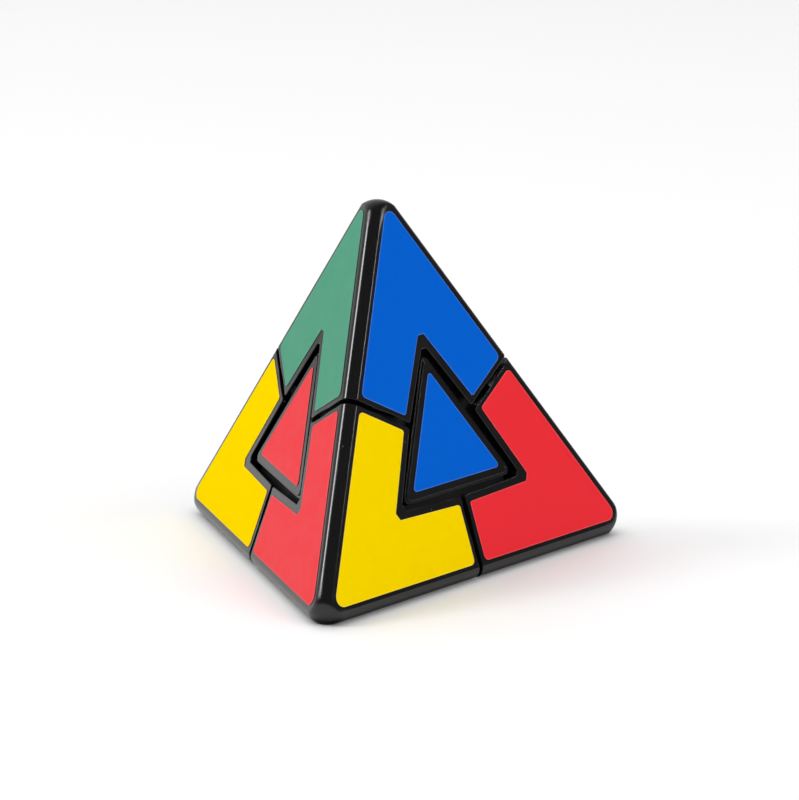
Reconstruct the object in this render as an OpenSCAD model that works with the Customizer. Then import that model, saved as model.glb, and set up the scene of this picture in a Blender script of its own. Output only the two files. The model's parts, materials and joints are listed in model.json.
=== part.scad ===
// Four-corner pyramid twisty puzzle: turning corners, sunk face triangles, hidden sliders.
// Origin at the centre of the pyramid, +Z up through the top corner, front corner towards -Y.

/* [Overall size] */

// Edge of the pyramid before its edges are rounded
edge_len = 103; // [98:1:110]

// Radius along the outer edges
edge_r = 2.4; // [1.6:0.1:3]

// Radius of the ball that blends each outer tip
tip_r = 5.5; // [5:0.1:6]

/* [Face pattern] */

// Centre of a face to the recess wall, at the middle of a side
recess_mid = 11.5; // [11.3:0.05:11.8]

// Centre of a face to the recess wall, near a recess corner
recess_end = 10.85; // [10.8:0.05:11.2]

// Centre of a face to the side of the raised triangle
tri_in = 9.45; // [9.2:0.05:9.5]

// Depth of the triangle's top below the face
tri_sink = 0.45; // [0.2:0.05:0.8]

// Width of the ledge around the triangle
ledge_out = 0.5; // [0.3:0.05:0.5]

// Drop from the triangle's top to its ledge
ledge_drop = 0.3; // [0.25:0.05:0.4]

// Depth of the recess floor below the face
floor_depth = 2.2; // [1.6:0.1:2.2]

/* [Stickers] */

// Thickness of a sticker
sticker_t = 0.15; // [0.1:0.01:0.25]

// Centre of a face to the outer edge of a corner sticker
sticker_out = 25.95; // [25:0.05:26.2]

// Centre of a face to the inner edge of a corner sticker, at the seam
sticker_mid = 13.05; // [12.6:0.05:13.5]

// Centre of a face to the inner edge of a corner sticker, at its notch
sticker_notch = 12.4; // [12:0.05:12.6]

// Middle of a seam to the sticker's edge
sticker_seam = 1.62; // [1.3:0.02:2]

// Centre of a face to the side of the triangle's sticker
sticker_tri = 7.9; // [7:0.1:8.2]

/* [Fits] */

// Allowance from the mean cut to a part that a layer turns past
gap_static = 0.45; // [0.4:0.05:0.5]

// Growth of the turning parts over the mean cut
grow_moving = 0.1; // [0:0.05:0.1]

// Growth of a face triangle's cap over the mean cut
grow_cap = 0.3; // [0.1:0.05:0.3]

// Depth of the tongue that hooks a foot under its neighbour
tongue = 1.2; // [0.8:0.1:1.4]

/* [Mechanism] */

// Radius of the centre ball
ball_r = 11.7; // [11:0.1:11.8]

// Gap between the centre ball and the parts that ride on it
ball_gap = 0.4; // [0.3:0.05:0.6]

// Distance from the centre to the outer end of a slider, under its seam
slider_top = 27.5; // [26:0.5:29]

// Radius of a screw shank
screw_r = 1.5; // [1.3:0.05:1.6]

// Radius of the hub that fills a corner's middle
hub_r = 7.6; // [7:0.1:8]

// Height of the hub's top from the centre
hub_top = 33; // [32:0.5:34]

// Height of the spring's seat from the centre
seat_z = 22; // [21:0.5:23]

// Turns of a spring
spring_turns = 5; // [4:1:7]

/* [Hidden] */

tilt = acos(-1/3);            // angle between two corner axes
face_tilt = acos(1/3);        // angle between a corner axis and a near face
tip_h = edge_len*sqrt(6)/4;   // centre to a sharp tip
face_h = edge_len*sqrt(6)/12; // centre to a face
mid_h = edge_len*sqrt(3)/6;   // centre of a face to the middle of its side
big = 2*edge_len;
crease = 8;                   // angle at which a rounding meets the flat
rest_of = [0, 120, 240];

// Placing: 0 top, 1 front, 2 right, 3 left; a neighbour lies at azimuth 0
base_az = [0, -90, 30, 150];
module at_corner(i) {
  if (i == 0) rotate([0, 0, 30]) children();
  else rotate([0, tilt, base_az[i]]) rotate([0, 0, 180]) children();
}
// The four axes are the diagonals of a cube, so half turns about the cube's axes swap them
cube_cols = [[2/sqrt(6), 0, 1/sqrt(3)], [-1/sqrt(6), 1/sqrt(2), 1/sqrt(3)],
  [-1/sqrt(6), -1/sqrt(2), 1/sqrt(3)]];
cube_rows = [for (j = [0:2]) [for (i = [0:2]) cube_cols[i][j]]];
half_turn = [[0, 0, 0], [180, 0, 0], [0, 180, 0], [0, 0, 180]];
module on_axis(k) {
  multmatrix(cube_rows) rotate(half_turn[k]) multmatrix(cube_cols) children();
}
module own_layer(d) {
  on_axis(0) layer(d);
}
module next_layer(az, d) {
  on_axis(1 + az/120) layer(d);
}
// Frame of the face between neighbours az and az+120, its own +X towards the near tip
module at_face(az) {
  rotate([0, 0, az + 60]) rotate([0, face_tilt, 0])
    translate([0, 0, face_h]) rotate([0, 0, 180]) children();
}

// Cut profile of one layer about its axis, as radius and height points
sweep_k = (tri_in + 0.3)/mid_h;
function flank(t) = [
  norm([edge_len*(0.096225 + sweep_k*(0.19245 + t*0.28868)), edge_len*(1 - sweep_k)/6]),
  edge_len*(0.06804 + sweep_k*(0.13608 - t*0.40825))
];
function seam(s) = [
  sqrt(pow(mid_h, 2) - 0.3849*edge_len*s + 0.77778*s*s),
  face_h - 0.4714*s
];
seam_end = mid_h - recess_mid;
bottom_h = flank(1)[1] - 0.53;
bottom_r = 23.3;
inner_r = 11.5;
inner_top = 2;
hook_out = 20.5;
hook_in = 15;
function inner_h(r) = bottom_h + (bottom_r - r)*(inner_top - bottom_h)/(bottom_r - inner_r);
profile_r = 45;
layer_profile = concat(
  [[0, profile_r], [profile_r, profile_r]],
  [[profile_r, face_h + (profile_r - mid_h)*0.70711]],
  [for (i = [0:2]) seam(i*seam_end/2)],
  [for (i = [0:2]) flank(i/2)],
  [[27.3, bottom_h], [bottom_r, bottom_h]],
  [[hook_out, inner_h(hook_out)], [hook_out, inner_h(hook_out) - tongue]],
  [[hook_in, inner_h(hook_in) - tongue], [hook_in, inner_h(hook_in)]],
  [[inner_r, inner_top], [0, inner_top]]
);
// Moves every side of a closed profile outwards by d, leaving the axis side alone
function unit(v) = v/norm(v);
function side_n(p, i) = let (a = p[i], b = p[(i + 1) % len(p)], u = unit(b - a))
  a[0] == 0 && b[0] == 0 ? [0, 0] : [-u[1], u[0]];
function push(p, i, d) = let (
    n1 = side_n(p, (i + len(p) - 1) % len(p)), n2 = side_n(p, i), c = n1*n2
  ) p[i] + d*(n1 + n2)/(1 + c);
function grown(p, d) = [for (i = [0:len(p) - 1])
  p[i][0] == 0 ? [0, p[i][1] + (i == 0 ? d : -d)] : push(p, i, d)];

module layer(d) {
  rotate_extrude($fn = 96) polygon(grown(layer_profile, d));
}

// Block under one flat face
module face_block() {
  translate([-60, -60, -120]) cube(120);
}
// Sharp tip of the pyramid above the mechanism
module tip_block() {
  intersection() {
    translate([-45, -45, 13.1]) cube([90, 90, 56]);
    at_face(0) face_block();
    at_face(120) face_block();
    at_face(240) face_block();
  }
}

// Removes the sharp edge towards the neighbour at az
round_d = edge_r*cos(crease);
round_in = round_d*sqrt(3);
module edge_cut(az) {
  // along the edge: local x points out of the edge, local z runs down from the tip
  rotate([0, 0, az]) translate([0, 0, tip_h]) rotate([0, 180 - 35.2644, 0])
    rotate([0, 0, 180]) difference() {
      translate([-edge_cut_depth(), -6, -4]) cube([10, 12, edge_len/2 + 8]);
      translate([-round_in, 0, -6]) cylinder(h = edge_len/2 + 12, r = edge_r, $fn = 64);
    }
}
// Depth below the sharp edge at which the rounding meets the flats
function edge_cut_depth() = round_in - edge_r*cos(54.7356);

// Ball-shaped tip
ridge = round_in - edge_r;
ball_cos = cos(10);
tip_drop = (tip_r*ball_cos + ridge)/0.57735;
module tip_cut() {
  translate([0, 0, tip_h - tip_drop]) difference() {
    translate([-12, -12, tip_cut_z()]) cube([24, 24, 24]);
    sphere(r = tip_r, $fn = 64);
  }
}
// Where the ball meets the rounded edges, above the ball's centre
function tip_cut_z() = tip_r*cos(54.7356);

// Sunken window around a face's triangle, in the frame of a face
window_pts = [for (a = [0, 120, 240]) each [
  dir(a - 60)*recess_mid,
  dir(a)*(2*recess_end - 1.4) - dir(a + 90)*0.86,
  dir(a)*(2*recess_end - 1.4) + dir(a + 90)*0.86
]];
module window() {
  translate([0, 0, -floor_depth]) linear_extrude(height = floor_depth + 2) polygon(window_pts);
}
module rounded_tip() {
  difference() {
    tip_block();
    for (az = rest_of) edge_cut(az);
    tip_cut();
    for (az = rest_of) at_face(az) window();
  }
}
// Ball-shaped room around the centre; turned so that its poles lie off the cuts
module ball_room(turn = [17, 23, 31]) {
  rotate(turn) sphere(r = ball_r + ball_gap, $fn = 64);
}
// Takes away what the three neighbouring layers sweep
module cleared() {
  difference() {
    difference() {
      difference() {
        difference() {
          children();
          next_layer(0, gap_static);
        }
        next_layer(120, gap_static);
      }
      next_layer(240, gap_static);
    }
    ball_room();
  }
}

/* ---- corners ---- */
module corner_shell(i) {
  color([0.03, 0.03, 0.035]) at_corner(i) difference() {
    cleared() rounded_tip();
    translate([0, 0, 8]) cylinder(h = hub_top - 8, r = hub_r, $fn = 64);
    translate([0, 0, hub_top - 0.5]) cylinder(h = 14, r1 = 6.2, r2 = 3, $fn = 48);
  }
}
module corner_hub(i) {
  color([0.12, 0.12, 0.13]) at_corner(i) difference() {
    cleared() rotate([0, 0, 25]) translate([0, 0, 9])
      cylinder(h = hub_top - 9, r = hub_r, $fn = 64);
    cylinder(h = hub_top + 5, r = screw_r + 0.05, $fn = 48);
    translate([0, 0, seat_z]) cylinder(h = hub_top, r = 4.4, $fn = 48);
  }
}

/* ---- screws, washers and springs ---- */
head_z = seat_z + 8.4;
module screw(i) {
  color([0.72, 0.72, 0.74]) at_corner(i) difference() {
    union() {
      translate([0, 0, 5]) cylinder(h = head_z - 5, r = screw_r, $fn = 48);
      translate([0, 0, head_z]) cylinder(h = 1.8, r = 3, $fn = 48);
    }
    for (a = [0, 90]) rotate([0, 0, a])
      translate([-1.9, -0.35, head_z + 0.9]) cube([3.8, 0.7, 2]);
  }
}
module washer(i) {
  color([0.78, 0.78, 0.8]) at_corner(i) translate([0, 0, head_z - 0.8]) difference() {
    cylinder(h = 0.8, r = 3.8, $fn = 48);
    translate([0, 0, -1]) cylinder(h = 3, r = screw_r + 0.2, $fn = 48);
  }
}
coil_r = 2.9;
wire_r = 0.45;
coil_n = 16;
wire_n = 6;
coil_z0 = seat_z + 0.35 + wire_r;
coil_z1 = head_z - 0.85 - wire_r;
coil_steps = spring_turns*coil_n;
function coil_pt(j, q) = let (
    a = 360*j/coil_n, z = coil_z0 + (coil_z1 - coil_z0)*j/coil_steps,
    r = coil_r + wire_r*cos(360*q/wire_n)
  ) [r*cos(a), r*sin(a), z + wire_r*sin(360*q/wire_n)];
module spring(i) {
  color([0.8, 0.8, 0.82]) at_corner(i) polyhedron(
    points = [for (j = [0:coil_steps]) for (q = [0:wire_n - 1]) coil_pt(j, q)],
    faces = concat(
      [[for (q = [0:wire_n - 1]) q]],
      [[for (q = [0:wire_n - 1]) coil_steps*wire_n + wire_n - 1 - q]],
      [for (j = [0:coil_steps - 1]) for (q = [0:wire_n - 1]) let (
          a = j*wire_n + q, b = j*wire_n + (q + 1) % wire_n
        ) [a, a + wire_n, b + wire_n, b]]
    )
  );
}

/* ---- centre ---- */
module core() {
  color([0.85, 0.85, 0.82]) difference() {
    sphere(r = ball_r, $fn = 96);
    for (i = [0:3]) at_corner(i) translate([0, 0, 5]) cylinder(h = 20, r = screw_r, $fn = 48);
  }
}

/* ---- sunk face triangles: i is the corner opposite the face ---- */
function ring_pts(pts, rad, n) = [for (i = [0:len(pts) - 1]) each arc_at(pts, rad, n, i)];
function arc_at(pts, rad, n, i) = let (
    p = pts[i], a = unit(pts[(i + len(pts) - 1) % len(pts)] - p),
    b = unit(pts[(i + 1) % len(pts)] - p),
    half = acos(max(-1, min(1, a*b)))/2, r = rad[i],
    m = unit(a + b), c = p + m*r/sin(half),
    s = p + a*r/tan(half), e = p + b*r/tan(half),
    a0 = atan2(s[1] - c[1], s[0] - c[0]), a1 = atan2(e[1] - c[1], e[0] - c[0]),
    da = a1 - a0 > 180 ? a1 - a0 - 360 : (a1 - a0 < -180 ? a1 - a0 + 360 : a1 - a0)
  ) [for (j = [0:n]) c + r*[cos(a0 + da*j/n), sin(a0 + da*j/n)]];
function tri_pts(inr) = [for (a = [0, 120, 240]) 2*inr*[cos(a), sin(a)]];

module foot_block() {
  intersection() {
    intersection() {
      intersection() {
        translate([0, 0, -face_h + floor_depth])
          cylinder(h = face_h - floor_depth, r = 25, $fn = 64);
        next_layer(0, grow_moving);
      }
      next_layer(120, grow_moving);
    }
    next_layer(240, grow_moving);
  }
}
module triangle_foot(i) {
  color([0.05, 0.05, 0.055]) at_corner(i) difference() {
    difference() {
      foot_block();
      own_layer(gap_static);
    }
    ball_room();
  }
}
// The cap's underside is trimmed by the three layers it turns with, short of the parts they pass
module cap_plates() {
  translate([0, 0, -face_h + tri_sink]) union() {
    linear_extrude(height = ledge_drop + 0.2)
      polygon(ring_pts(tri_pts(tri_in), [1.1, 1.1, 1.1], 6));
    translate([0, 0, ledge_drop]) linear_extrude(height = floor_depth - tri_sink - ledge_drop)
      polygon(ring_pts(tri_pts(tri_in + ledge_out), [1.3, 1.3, 1.3], 6));
  }
}
module triangle_cap(i) {
  color([0.03, 0.03, 0.035]) at_corner(i) intersection() {
    intersection() {
      intersection() {
        cap_plates();
        next_layer(0, grow_cap);
      }
      next_layer(120, grow_cap);
    }
    next_layer(240, grow_cap);
  }
}
module triangle_sticker(i, shade) {
  color(shade) at_corner(i) translate([0, 0, -face_h + tri_sink - sticker_t])
    linear_extrude(height = sticker_t)
      polygon(ring_pts(tri_pts(sticker_tri), [0.7, 0.7, 0.7], 5));
}

/* ---- hidden sliders, one under each seam: corner i and its neighbour at az ---- */
module slider_block() {
  intersection() {
    intersection() {
      rotate([0, tilt/2, 0]) rotate([0, 0, 20]) translate([0, 0, 6])
        cylinder(h = slider_top - 6, r = 18.5, $fn = 64);
      own_layer(grow_moving);
    }
    next_layer(0, grow_moving);
  }
}
module slider(i, az) {
  color([0.1, 0.1, 0.11]) at_corner(i) rotate([0, 0, az]) difference() {
    difference() {
      difference() {
        slider_block();
        next_layer(120, gap_static);
      }
      next_layer(240, gap_static);
    }
    ball_room([50, 12, 64]);
    at_face(0) under_skin();
    at_face(240) under_skin();
  }
}
// Keeps a slider clear of the triangles, whose undersides lie at the recess floor
skin_gap = 0.3;
module under_skin() {
  translate([-30, -30, -floor_depth - skin_gap]) cube([60, 60, 20]);
}

/* ---- corner stickers, in the frame of a face with the tip towards +X ---- */
function dir(a) = [cos(a), sin(a)];
function mirrored(p) = [p[0], -p[1]];
up_side = [
  dir(60)*sticker_out + dir(-30)*sticker_seam,
  dir(60)*sticker_mid + dir(-30)*sticker_seam,
  [2*sticker_notch - 1.45, 0.9]
];
chevron = [
  [2*sticker_out, 0], up_side[0], up_side[1], up_side[2],
  mirrored(up_side[2]), mirrored(up_side[1]), mirrored(up_side[0])
];
// Corner radii of a chevron: its tip, then each side from the far end inwards
chevron_r = [1.9, 1.2, 0.7, 0.3, 0.3, 0.7, 1.2];
module corner_sticker(i, az, shade) {
  color(shade) at_corner(i) at_face(az) linear_extrude(height = sticker_t)
    polygon(ring_pts(chevron, chevron_r, 6));
}

green = [0.16, 0.55, 0.37];
blue = [0.0, 0.33, 0.83];
yellow = [0.98, 0.83, 0.0];
red = [0.9, 0.12, 0.18];

core();
screw(0);  // screw_top
screw(1);  // screw_front
screw(2);  // screw_right
screw(3);  // screw_left
washer(0);  // washer_top
washer(1);  // washer_front
washer(2);  // washer_right
washer(3);  // washer_left
spring(0);  // spring_top
spring(1);  // spring_front
spring(2);  // spring_right
spring(3);  // spring_left
corner_hub(0);  // hub_top_corner
corner_hub(1);  // hub_front_corner
corner_hub(2);  // hub_right_corner
corner_hub(3);  // hub_left_corner
corner_shell(0);  // shell_top
corner_shell(1);  // shell_front
corner_shell(2);  // shell_right
corner_shell(3);  // shell_left
corner_sticker(0, 0, red);  // sticker_top_a
corner_sticker(0, 120, green);  // sticker_top_b
corner_sticker(0, 240, blue);  // sticker_top_c
corner_sticker(1, 0, red);  // sticker_front_a
corner_sticker(1, 120, blue);  // sticker_front_b
corner_sticker(1, 240, yellow);  // sticker_front_c
corner_sticker(2, 0, red);  // sticker_right_a
corner_sticker(2, 120, yellow);  // sticker_right_b
corner_sticker(2, 240, green);  // sticker_right_c
corner_sticker(3, 0, blue);  // sticker_left_a
corner_sticker(3, 120, green);  // sticker_left_b
corner_sticker(3, 240, yellow);  // sticker_left_c
triangle_foot(0);  // foot_bottom
triangle_foot(1);  // foot_back
triangle_foot(2);  // foot_left_face
triangle_foot(3);  // foot_right_face
triangle_cap(0);  // cap_bottom
triangle_cap(1);  // cap_back
triangle_cap(2);  // cap_left_face
triangle_cap(3);  // cap_right_face
triangle_sticker(0, green);  // sticker_cap_bottom
triangle_sticker(1, yellow);  // sticker_cap_back
triangle_sticker(2, red);  // sticker_cap_left
triangle_sticker(3, blue);  // sticker_cap_right
slider(0, 240);  // slider_top_front
slider(0, 0);  // slider_top_right
slider(0, 120);  // slider_top_left
slider(1, 240);  // slider_front_right
slider(3, 120);  // slider_right_left
slider(3, 240);  // slider_left_front
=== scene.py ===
"""Looks of the pyramid twisty puzzle: softened black mouldings, satin stickers, studio light."""
import json
import math

import bpy
import bmesh
from mathutils import Matrix, Vector


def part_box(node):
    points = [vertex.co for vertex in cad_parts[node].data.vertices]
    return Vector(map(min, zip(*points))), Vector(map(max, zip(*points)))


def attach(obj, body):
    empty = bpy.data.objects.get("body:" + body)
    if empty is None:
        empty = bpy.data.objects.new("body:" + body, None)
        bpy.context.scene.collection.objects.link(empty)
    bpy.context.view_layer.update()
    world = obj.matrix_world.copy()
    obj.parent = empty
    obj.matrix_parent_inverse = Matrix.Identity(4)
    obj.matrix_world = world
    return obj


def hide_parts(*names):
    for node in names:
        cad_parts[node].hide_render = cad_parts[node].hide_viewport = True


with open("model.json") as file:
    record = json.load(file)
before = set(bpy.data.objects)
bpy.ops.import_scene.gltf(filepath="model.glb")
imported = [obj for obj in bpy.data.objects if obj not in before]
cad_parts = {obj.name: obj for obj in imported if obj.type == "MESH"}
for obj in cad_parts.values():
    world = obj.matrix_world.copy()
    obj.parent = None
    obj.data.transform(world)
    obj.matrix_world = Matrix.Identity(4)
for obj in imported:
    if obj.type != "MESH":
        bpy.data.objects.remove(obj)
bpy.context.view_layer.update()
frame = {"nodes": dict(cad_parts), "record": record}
nodes = frame["nodes"]
record = frame["record"]
body_of_node = {n: body for body, members in record["behaviour"]["bodies"].items() for n in members}
slot_of_node = {part["node"]: part["material_slot"] for part in record["subparts"]}

MM = 0.001
EDGE_RADIUS = 0.28 * MM       # softening of the black mouldings' edges, in their shading
TIP_RADIUS = 2.0 * MM         # the same at the four tips
TIP_STARTS = 51 * MM          # distance from the centre where the tips' softening begins
TIP_WHOLE = 54 * MM           # distance from the centre where it is whole
SEAM_REACH = 2.5 * MM         # how far a surface looks for others that shade it, for the shade painted into seams
VINYL_RIM_HIGHLIGHT = 0.32 * MM        # width of the paler rim on the stickers, partly their pale cut edge and partly a painted highlight
WELD = 0.002 * MM             # points nearer than this become one
MOULDING_ROUNDING = 0.4 * MM  # edges of the corner mouldings and the triangle caps
VINYL_ROUNDING = 0.06 * MM    # edges of the stickers
floor_z = min(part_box(n)[0].z for n in nodes if n.startswith("sticker_"))


# ---- node-material helpers ----
def new_material(name):
    """A material with a Principled shader, its node tree and that shader."""
    material = bpy.data.materials.new(name)
    material.use_nodes = True
    tree = material.node_tree
    return material, tree, tree.nodes["Principled BSDF"]


def noise(tree, scale, detail=2.0, roughness=0.5):
    """Noise in object space; scale is in features per metre."""
    place = tree.nodes.new("ShaderNodeTexCoord")
    node = tree.nodes.new("ShaderNodeTexNoise")
    node.inputs["Scale"].default_value = scale
    node.inputs["Detail"].default_value = detail
    node.inputs["Roughness"].default_value = roughness
    tree.links.new(place.outputs["Object"], node.inputs["Vector"])
    return node.outputs["Fac"]


def spread(tree, value, low, high, to_low, to_high):
    """Maps value from low..high to to_low..to_high, clamped."""
    node = tree.nodes.new("ShaderNodeMapRange")
    for name, number in zip(("From Min", "From Max", "To Min", "To Max"), (low, high, to_low, to_high)):
        node.inputs[name].default_value = number
    tree.links.new(value, node.inputs["Value"])
    return node.outputs["Result"]


def combine(tree, how, a, b):
    """Math of two values; either may be a number."""
    node = tree.nodes.new("ShaderNodeMath")
    node.operation = how
    for socket, value in zip(node.inputs, (a, b)):
        if isinstance(value, (int, float)):
            socket.default_value = value
        else:
            tree.links.new(value, socket)
    return node.outputs["Value"]


def mixed(tree, share, first, second):
    """Colour between first and second; each is a colour or an output."""
    node = tree.nodes.new("ShaderNodeMix")
    node.data_type = "RGBA"
    tree.links.new(share, node.inputs["Factor"])
    for socket, value in zip((node.inputs["A"], node.inputs["B"]), (first, second)):
        if isinstance(value, tuple):
            socket.default_value = (*value, 1)
        else:
            tree.links.new(value, socket)
    return node.outputs["Result"]


def bumped(tree, shader, height, depth, below=None):
    """Adds a bump of the given depth in metres, on top of another bump if there is one."""
    node = tree.nodes.new("ShaderNodeBump")
    node.inputs["Strength"].default_value = 1.0
    node.inputs["Distance"].default_value = depth
    tree.links.new(height, node.inputs["Height"])
    if below:
        tree.links.new(below, node.inputs["Normal"])
    tree.links.new(node.outputs["Normal"], shader.inputs["Normal"])
    return node.outputs["Normal"]


def specks(tree, scale, share):
    """1 on a sparse scatter of tiny grains of dust, 0 elsewhere."""
    place = tree.nodes.new("ShaderNodeTexCoord")
    cells = tree.nodes.new("ShaderNodeTexVoronoi")
    cells.inputs["Scale"].default_value = scale
    tree.links.new(place.outputs["Object"], cells.inputs["Vector"])
    near = spread(tree, cells.outputs["Distance"], 0.10, 0.16, 1, 0)
    pick = tree.nodes.new("ShaderNodeSeparateColor")
    tree.links.new(cells.outputs["Color"], pick.inputs["Color"])
    chosen = combine(tree, "LESS_THAN", pick.outputs["Red"], share)
    return combine(tree, "MULTIPLY", near, chosen)


def eased_edges(tree):
    """A normal that rounds every edge a little, and the tips over a wider reach."""
    place = tree.nodes.new("ShaderNodeTexCoord")
    reach = tree.nodes.new("ShaderNodeVectorMath")
    reach.operation = "LENGTH"
    tree.links.new(place.outputs["Object"], reach.inputs[0])
    eased = tree.nodes.new("ShaderNodeBevel")
    eased.samples = 10
    radius = spread(tree, reach.outputs["Value"], TIP_STARTS, TIP_WHOLE, EDGE_RADIUS, TIP_RADIUS)
    tree.links.new(radius, eased.inputs["Radius"])
    return eased.outputs["Normal"]


def seam_shade_mask(tree):
    """1 where a surface is open to the room, near 0 deep in a seam or a recess; it sets where shade is
    painted into the black plastic's reflections.
    """
    node = tree.nodes.new("ShaderNodeAmbientOcclusion")
    node.samples = 8
    node.inputs["Distance"].default_value = SEAM_REACH
    return node.outputs["AO"]


def cut_edge_highlight_mask(tree, width):
    """1 along the cut edge of a thin sheet, falling to 0 at the given distance from it; it places the
    stickers' painted edge highlight.
    """
    surface = tree.nodes.new("ShaderNodeNewGeometry")
    eased = tree.nodes.new("ShaderNodeBevel")
    eased.samples = 6
    eased.inputs["Radius"].default_value = width
    facing = tree.nodes.new("ShaderNodeVectorMath")
    facing.operation = "DOT_PRODUCT"
    tree.links.new(surface.outputs["Normal"], facing.inputs[0])
    tree.links.new(eased.outputs["Normal"], facing.inputs[1])
    return spread(tree, facing.outputs["Value"], 0.90, 0.998, 1, 0)


# ---- materials ----
def black_plastic():
    """Gloss black moulded plastic: faint orange peel, smudges from handling, a little dust, and painted
    shade that dims its reflections deep in seams and recesses.
    """
    material, tree, shader = new_material("black_plastic")
    smudge = noise(tree, 90, 4, 0.6)
    peel = noise(tree, 700, 2)
    grain = noise(tree, 5200, 1)
    dust = specks(tree, 900, 0.05)
    base = mixed(tree, smudge, (0.0030, 0.0030, 0.0034), (0.0052, 0.0050, 0.0056))
    dusty = mixed(tree, dust, base, (0.10, 0.10, 0.10))
    tree.links.new(dusty, shader.inputs["Base Color"])
    gloss = spread(tree, smudge, 0.35, 0.7, 0.08, 0.15)
    roughness = combine(tree, "ADD", gloss, combine(tree, "MULTIPLY", dust, 0.3))
    tree.links.new(roughness, shader.inputs["Roughness"])
    # painted shade: the plastic's reflections are turned down where seams and recesses close it in,
    # darkening them
    seam_shaded_specular = spread(tree, seam_shade_mask(tree), 0.45, 0.85, 0.02, 0.5)
    tree.links.new(seam_shaded_specular, shader.inputs["Specular IOR Level"])
    below = bumped(tree, shader, peel, 0.004 * MM, eased_edges(tree))
    bumped(tree, shader, grain, 0.0012 * MM, below)
    return material


def inner_plastic():
    """Plain black plastic of the inside parts, lightly scuffed where layers rub."""
    material, tree, shader = new_material("inner_plastic")
    scuff = noise(tree, 400, 5, 0.7)
    worn = spread(tree, scuff, 0.45, 0.75, 0, 1)
    base = mixed(tree, worn, (0.0025, 0.0025, 0.0028), (0.0075, 0.0075, 0.0080))
    tree.links.new(base, shader.inputs["Base Color"])
    tree.links.new(spread(tree, scuff, 0.3, 0.7, 0.45, 0.6), shader.inputs["Roughness"])
    shader.inputs["Specular IOR Level"].default_value = 0.3
    bumped(tree, shader, noise(tree, 2600, 2), 0.004 * MM)
    return material


def core_nylon():
    """Natural nylon of the centre ball."""
    material, tree, shader = new_material("core_nylon")
    cloud = noise(tree, 160, 3)
    base = mixed(tree, cloud, (0.62, 0.60, 0.54), (0.74, 0.72, 0.66))
    tree.links.new(base, shader.inputs["Base Color"])
    tree.links.new(spread(tree, cloud, 0.3, 0.7, 0.38, 0.52), shader.inputs["Roughness"])
    shader.inputs["Subsurface Weight"].default_value = 0.1
    shader.inputs["Subsurface Radius"].default_value = (0.002, 0.0018, 0.0015)
    bumped(tree, shader, noise(tree, 1800, 2), 0.004 * MM)
    return material


def steel():
    """Zinc-plated steel of the screws, washers and springs."""
    material, tree, shader = new_material("steel")
    streak = noise(tree, 1500, 3, 0.6)
    base = mixed(tree, streak, (0.50, 0.51, 0.54), (0.66, 0.66, 0.67))
    tree.links.new(base, shader.inputs["Base Color"])
    tree.links.new(spread(tree, streak, 0.3, 0.7, 0.22, 0.4), shader.inputs["Roughness"])
    shader.inputs["Metallic"].default_value = 1.0
    bumped(tree, shader, noise(tree, 3500, 2), 0.002 * MM)
    return material


def sticker(name, colour, gloss):
    """Satin vinyl: a fine leathery grain, faint mottling, a soft gloss that varies with handling, and a
    paler rim that is partly the pale cut edge and partly a painted highlight.
    """
    material, tree, shader = new_material(name)
    dark, light = around(colour)
    grain = noise(tree, 3600, 3, 0.65)
    mottle = noise(tree, 240, 3)
    fine, broad = combine(tree, "MULTIPLY", grain, 0.7), combine(tree, "MULTIPLY", mottle, 0.3)
    share = combine(tree, "ADD", fine, broad)
    face = mixed(tree, spread(tree, share, 0.3, 0.7, 0, 1), dark, light)
    # painted highlight: the paler rim along each sticker's edge is partly the vinyl's pale cut edge and
    # partly light caught on the rounded edge
    pale = tuple(c + (1 - c) * 0.16 for c in colour)
    edge = combine(tree, "MULTIPLY", cut_edge_highlight_mask(tree, VINYL_RIM_HIGHLIGHT), 0.8)
    tree.links.new(mixed(tree, edge, face, pale), shader.inputs["Base Color"])
    tree.links.new(spread(tree, mottle, 0.3, 0.7, 0.42, 0.52), shader.inputs["Roughness"])
    shader.inputs["Specular IOR Level"].default_value = gloss
    bumped(tree, shader, grain, 0.006 * MM)
    return material


def around(colour, variation=0.035):
    """The darker and lighter shade that a mottled colour runs between."""
    dark = tuple(c * (1 - variation) for c in colour)
    light = tuple(min(1.0, c * (1 + variation)) for c in colour)
    return dark, light


GREEN = (0.048, 0.300, 0.178)
BLUE = (0.000, 0.112, 0.600)
YELLOW = (0.920, 0.650, 0.000)
RED = (0.820, 0.017, 0.028)
materials = {
    "black_plastic": black_plastic(),
    "inner_plastic": inner_plastic(),
    "core_nylon": core_nylon(),
    "steel": steel(),
    "sticker_green": sticker("sticker_green", GREEN, 0.22),
    "sticker_blue": sticker("sticker_blue", BLUE, 0.03),
    "sticker_yellow": sticker("sticker_yellow", YELLOW, 0.0),
    "sticker_red": sticker("sticker_red", RED, 0.2),
}


# ---- meshes ----
def clean_copy(node, name):
    """A new object with the node's mesh, its seams welded and its materials cleared."""
    mesh = nodes[node].data.copy()
    mesh.name = name
    build = bmesh.new()
    build.from_mesh(mesh)
    bmesh.ops.remove_doubles(build, verts=build.verts, dist=WELD)
    build.to_mesh(mesh)
    build.free()
    mesh.materials.clear()
    piece = bpy.data.objects.new(name, mesh)
    bpy.context.scene.collection.objects.link(piece)
    return piece


def baked(piece):
    """Puts the piece's modifiers into its mesh."""
    bpy.context.view_layer.update()
    seen = piece.evaluated_get(bpy.context.evaluated_depsgraph_get())
    done = bpy.data.meshes.new_from_object(seen)
    piece.modifiers.clear()
    old = piece.data
    piece.data = done
    done.name = piece.name
    bpy.data.meshes.remove(old)
    return piece


def finished(piece, node):
    """Gives the piece its material, body and slot, and lets it stand for the node."""
    piece.data.materials.clear()
    piece.data.materials.append(materials[slot_of_node[node]])
    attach(piece, body_of_node[node])
    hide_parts(node)
    return piece


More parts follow.
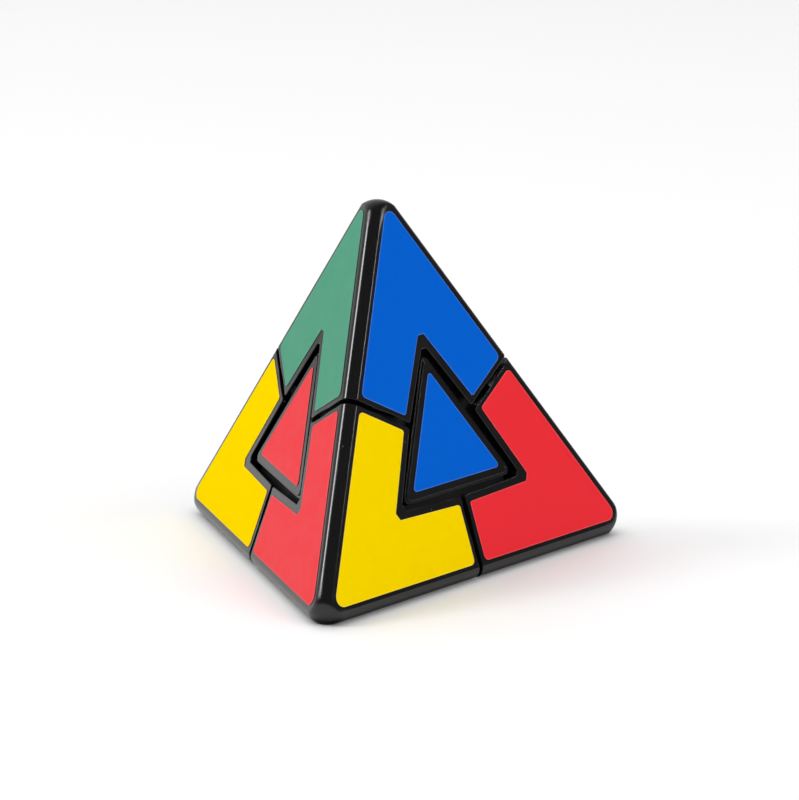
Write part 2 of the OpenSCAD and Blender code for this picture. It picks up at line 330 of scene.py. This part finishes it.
def edged(node, name, width, segments):
    """The node's piece with flat areas made whole and sharp edges rounded over."""
    piece = clean_copy(node, name)
    build = bmesh.new()
    build.from_mesh(piece.data)
    bmesh.ops.dissolve_limit(build, angle_limit=math.radians(1), verts=build.verts, edges=build.edges)
    for face in build.faces:
        face.smooth = True
    build.to_mesh(piece.data)
    build.free()
    bevel = piece.modifiers.new("bevel", "BEVEL")
    bevel.width = width
    bevel.segments = segments
    bevel.limit_method = "ANGLE"
    bevel.angle_limit = math.radians(50)
    weigh = piece.modifiers.new("weigh", "WEIGHTED_NORMAL")
    weigh.weight = 100
    return finished(baked(piece), node)


for corner in ("top", "front", "right", "left"):
    edged(f"shell_{corner}", f"corner_moulding_{corner}", MOULDING_ROUNDING, 3)
for node in nodes:
    if node.startswith("cap_"):
        edged(node, node.replace("cap", "triangle_cap"), MOULDING_ROUNDING, 4)
    elif node.startswith("sticker_"):
        edged(node, node.replace("sticker", "vinyl"), VINYL_ROUNDING, 2)

for node, cad in nodes.items():
    if not cad.hide_render:
        cad.data.materials.clear()
        cad.data.materials.append(materials[slot_of_node[node]])


# ---- stage, light and camera ----
def plain_floor():
    """A wide matt white floor under the object."""
    bpy.ops.mesh.primitive_plane_add(size=24, location=(0, 0, floor_z))
    floor = bpy.context.object
    floor.name = "floor"
    material, tree, shader = new_material("floor_white")
    shader.inputs["Base Color"].default_value = (0.92, 0.92, 0.92, 1)
    shader.inputs["Roughness"].default_value = 0.6
    shader.inputs["Specular IOR Level"].default_value = 0.1
    floor.data.materials.append(material)


def softbox(name, towards, distance, width, height, power, glossy=True):
    """A rectangular area light seen from the object in a given direction."""
    data = bpy.data.lights.new(name, "AREA")
    data.shape = "RECTANGLE"
    data.size = width
    data.size_y = height
    data.energy = power
    light = bpy.data.objects.new(name, data)
    back = Vector(towards).normalized()
    light.location = back * distance
    light.rotation_mode = "QUATERNION"
    light.rotation_quaternion = back.to_track_quat("Z", "Y")
    light.visible_glossy = glossy
    bpy.context.scene.collection.objects.link(light)
    return light


def surroundings():
    """A studio that is pale towards the back left and dim elsewhere."""
    world = bpy.data.worlds.new("studio")
    bpy.context.scene.world = world
    world.use_nodes = True
    tree = world.node_tree
    place = tree.nodes.new("ShaderNodeTexCoord")
    facing = tree.nodes.new("ShaderNodeVectorMath")
    facing.operation = "DOT_PRODUCT"
    facing.inputs[1].default_value = Vector((-0.80, 0.60, 0.0))
    tree.links.new(place.outputs["Generated"], facing.inputs[0])
    strength = spread(tree, facing.outputs["Value"], 0.1, 0.85, 0.14, 0.80)
    tree.links.new(strength, tree.nodes["Background"].inputs["Strength"])
    tree.nodes["Background"].inputs["Color"].default_value = (1, 1, 1, 1)


def photo_camera():
    """The camera at the photograph's angle and framing."""
    azimuth, elevation, roll = math.radians(12.57), math.radians(15.55), math.radians(-0.45)
    distance = 1.1412
    image_px, sensor_mm = 800, 36
    focal_px, left_px, down_px = 5386, 21.0, 58.3
    back = Vector((math.sin(azimuth) * math.cos(elevation), -math.cos(azimuth) * math.cos(elevation),
                   math.sin(elevation)))
    right = (-back).cross(Vector((0, 0, 1))).normalized()
    up = right.cross(-back)
    place = back * distance
    aim = (right * left_px + up * down_px) * distance / focal_px
    data = bpy.data.cameras.new("camera")
    data.sensor_width = sensor_mm
    data.lens = sensor_mm * focal_px / image_px
    camera = bpy.data.objects.new("camera", data)
    camera.location = place
    camera.rotation_mode = "QUATERNION"
    turn = (place - aim).to_track_quat("Z", "Y")
    camera.rotation_quaternion = turn @ Matrix.Rotation(roll, 4, "Z").to_quaternion()
    bpy.context.scene.collection.objects.link(camera)
    bpy.context.scene.camera = camera


plain_floor()
surroundings()
softbox("overhead", (-0.1, 0.2, 1), 1.6, 2.4, 2.4, 23.5, glossy=False)
softbox("left_strip", (-0.754, -0.279, 0.594), 1.3, 0.22, 0.6, 5.6)
softbox("right_strip", (0.923, 0.180, 0.340), 2.0, 0.5, 0.06, 2.0)
softbox("right_fill", (0.85, -0.45, 0.45), 1.6, 1.2, 1.2, 12, glossy=False)
bpy.context.scene.view_settings.view_transform = "Standard"
photo_camera()
